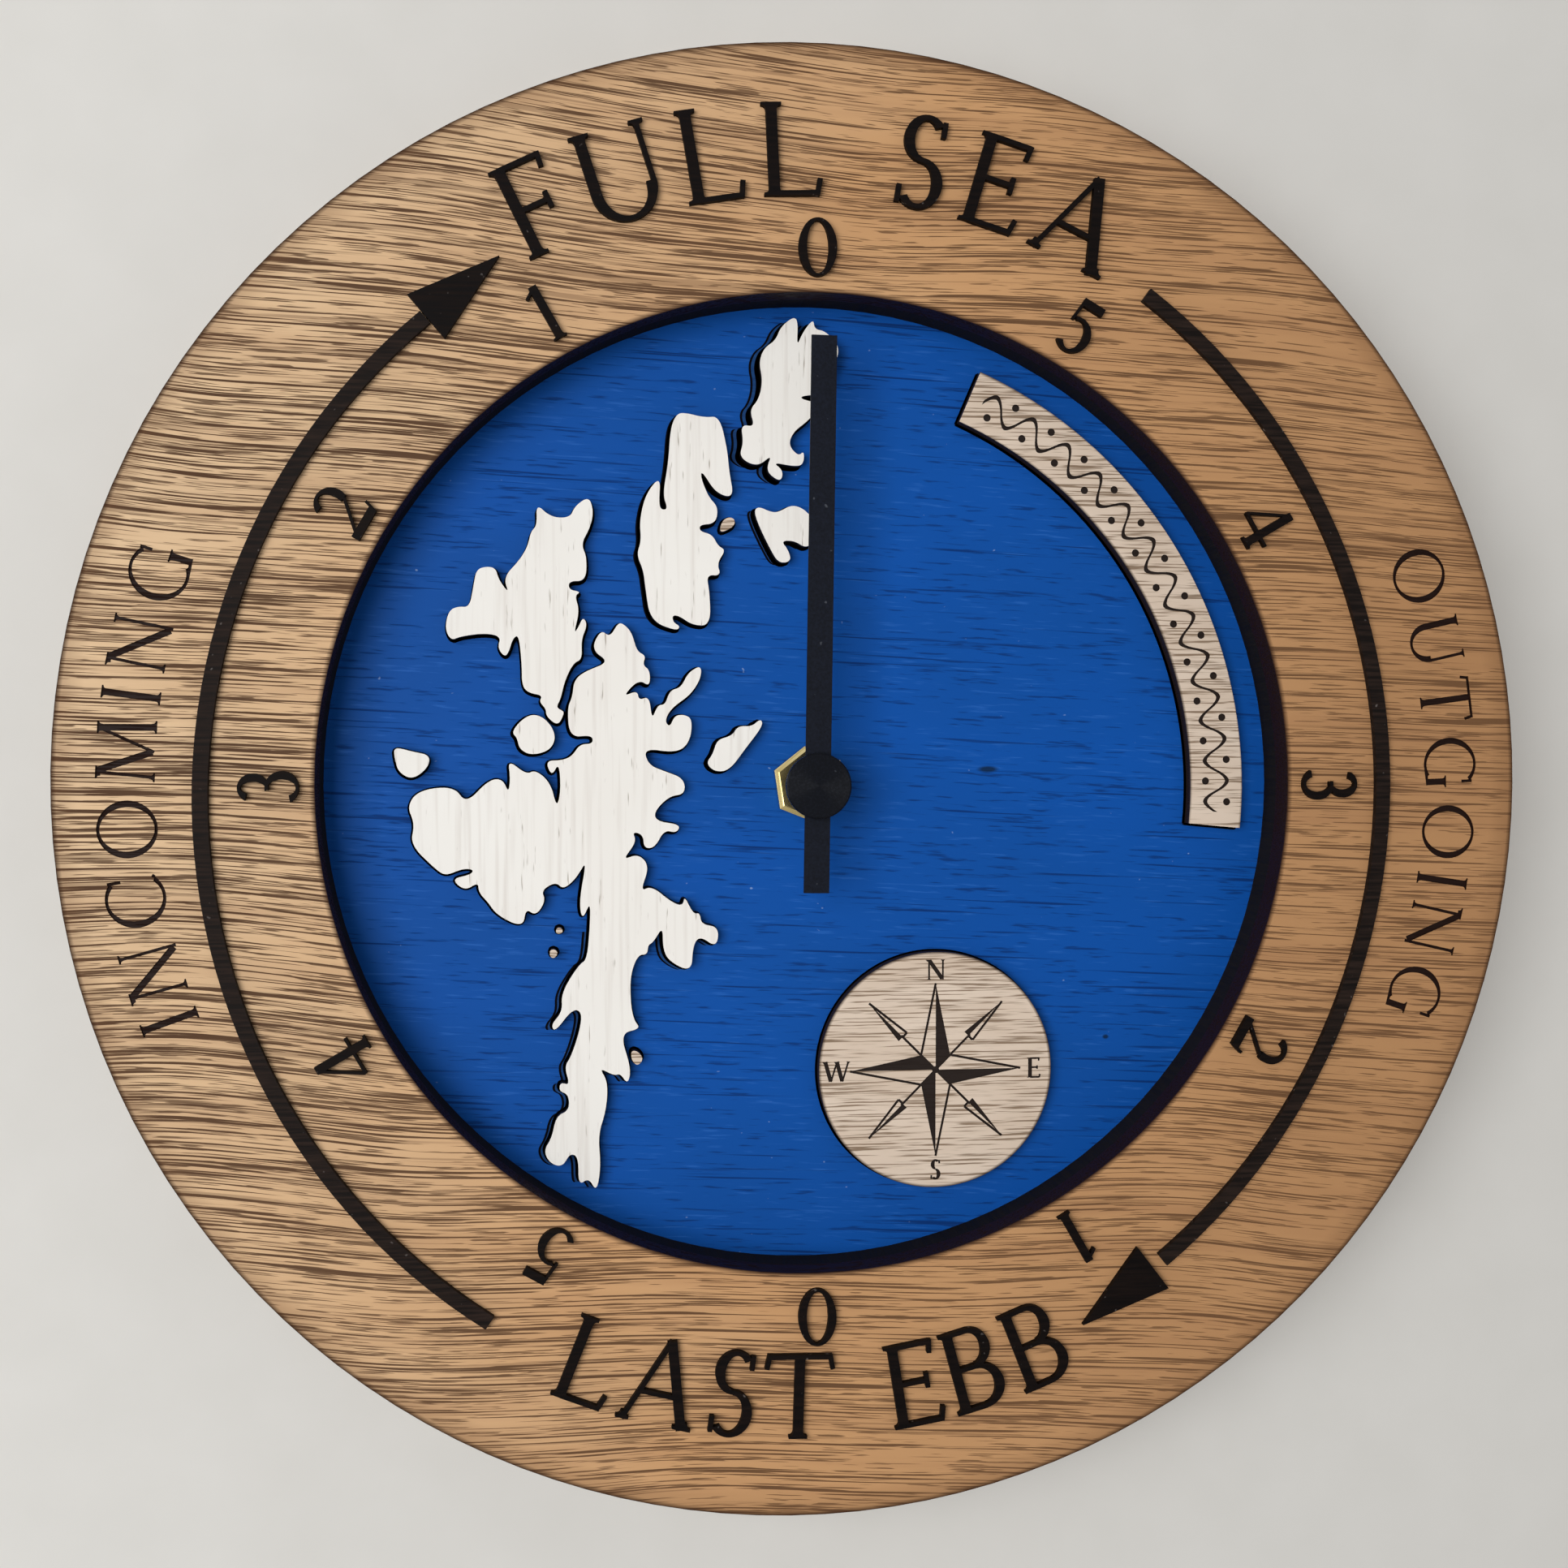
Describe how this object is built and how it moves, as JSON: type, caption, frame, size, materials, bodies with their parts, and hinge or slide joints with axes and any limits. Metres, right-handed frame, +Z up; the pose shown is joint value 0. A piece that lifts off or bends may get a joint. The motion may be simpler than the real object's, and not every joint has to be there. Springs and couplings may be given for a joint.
{
  "type": "tide clock",
  "caption": "Round wooden wall clock that shows the state of the tide, with a recessed map dial, raised lettering, a plain hand and a geared quartz movement.",
  "frame": {"origin": "centre of the keyhole plate's round entry hole, in the plane of the wall; the clock's own axis is 125 mm below it", "axes": "+Z up towards high water, -Y out of the wall towards the reader, +X to the reader's right"},
  "size_m": [0.3, 0.0411, 0.3],
  "materials": {
    "oak_veneer": "veneered board, clear matt, edges charred by the cutter",
    "black_wood": "thin board stained black, matt",
    "blue_dial": "board painted blue, grain showing through",
    "frame_wood": "plain birch plywood, sanded",
    "white_wood": "thin board painted white, edges charred",
    "pale_wood": "bare pale board, engraved lines burnt dark",
    "zinc_steel": "zinc plated",
    "black_aluminium": "anodised black, matt",
    "black_turned": "turned and anodised black",
    "brass": "bright turned brass",
    "rubber": "moulded",
    "case_plastic": "moulded black, fine spark texture",
    "gear_plastic": "moulded white acetal",
    "magnet": "sintered",
    "motor_iron": "stamped",
    "copper_wire": "enamelled wire",
    "circuit_green": "lacquered board",
    "crystal_can": "drawn can",
    "chip_resin": "moulded resin drop",
    "battery_wrap": "plain printed sleeve without text",
    "spring_steel": "nickel plated"
  },
  "bodies": {
    "clock": {"front_ring": "oak_veneer", "spacer_ring": "black_wood", "high_water_letters": "black_wood", "low_water_letters": "black_wood", "numerals": "black_wood", "rising_strip": "black_wood", "rising_arrowhead": "black_wood", "falling_strip": "black_wood", "falling_arrowhead": "black_wood", "dial_board": "blue_dial", "back_frame": "frame_wood", "main_island": "white_wood", "north_island": "white_wood", "middle_island": "white_wood", "west_island": "white_wood", "islets": "white_wood", "compass_disc": "pale_wood", "arc_plaque": "pale_wood", "bare_islets": "pale_wood", "keyhole_plate": "zinc_steel", "keyhole_screws": "zinc_steel", "hex_nut": "brass", "brass_washer": "brass", "threaded_bush": "brass", "rubber_washer": "rubber", "movement_case": "case_plastic", "movement_cover": "case_plastic", "gear_plate": "gear_plastic", "stator": "motor_iron", "coil": "copper_wire", "circuit_board": "circuit_green", "quartz_crystal": "crystal_can", "chip": "chip_resin", "battery": "battery_wrap", "flat_contact": "spring_steel", "bent_contact": "spring_steel"},
    "hand": {"tide_hand": "black_aluminium", "hand_boss": "black_turned", "hub_cap": "black_turned", "hand_arbor": "brass", "tide_wheel": "gear_plastic"},
    "third": {"third_wheel": "gear_plastic"},
    "second": {"second_wheel": "gear_plastic"},
    "first": {"first_wheel": "gear_plastic"},
    "rotor": {"rotor_pinion": "gear_plastic", "rotor_magnet": "magnet"},
    "knob": {"setting_knob": "case_plastic"}
  },
  "joints": [
    {"name": "tide_hand_turn", "type": "hinge", "parent": "clock", "child": "hand", "pos_m": [0, -0.0387, -0.125], "axis": [0, 1, 0], "continuous": true},
    {"name": "third_wheel_turn", "type": "hinge", "parent": "clock", "child": "third", "pos_m": [-0.00896, -0.0124, -0.11983], "axis": [0, 1, 0], "continuous": true},
    {"name": "second_wheel_turn", "type": "hinge", "parent": "clock", "child": "second", "pos_m": [-0.00444, -0.0106, -0.11132], "axis": [0, 1, 0], "continuous": true},
    {"name": "first_wheel_turn", "type": "hinge", "parent": "clock", "child": "first", "pos_m": [0.00479, -0.0088, -0.11213], "axis": [0, 1, 0], "continuous": true},
    {"name": "rotor_turn", "type": "hinge", "parent": "clock", "child": "rotor", "pos_m": [0.01209, -0.00685, -0.11724], "axis": [0, 1, 0], "continuous": true},
    {"name": "setting_knob_turn", "type": "hinge", "parent": "clock", "child": "knob", "pos_m": [0.00848, -0.0004, -0.13212], "axis": [0, 1, 0], "continuous": true}
  ],
  "couplings": [
    {"joint": "third_wheel_turn", "follows": "tide_hand_turn", "ratio": -13.375},
    {"joint": "second_wheel_turn", "follows": "tide_hand_turn", "ratio": 165.52},
    {"joint": "first_wheel_turn", "follows": "tide_hand_turn", "ratio": -1965.5},
    {"joint": "rotor_turn", "follows": "tide_hand_turn", "ratio": 22358},
    {"joint": "setting_knob_turn", "follows": "tide_hand_turn", "ratio": -6.6875}
  ]
}
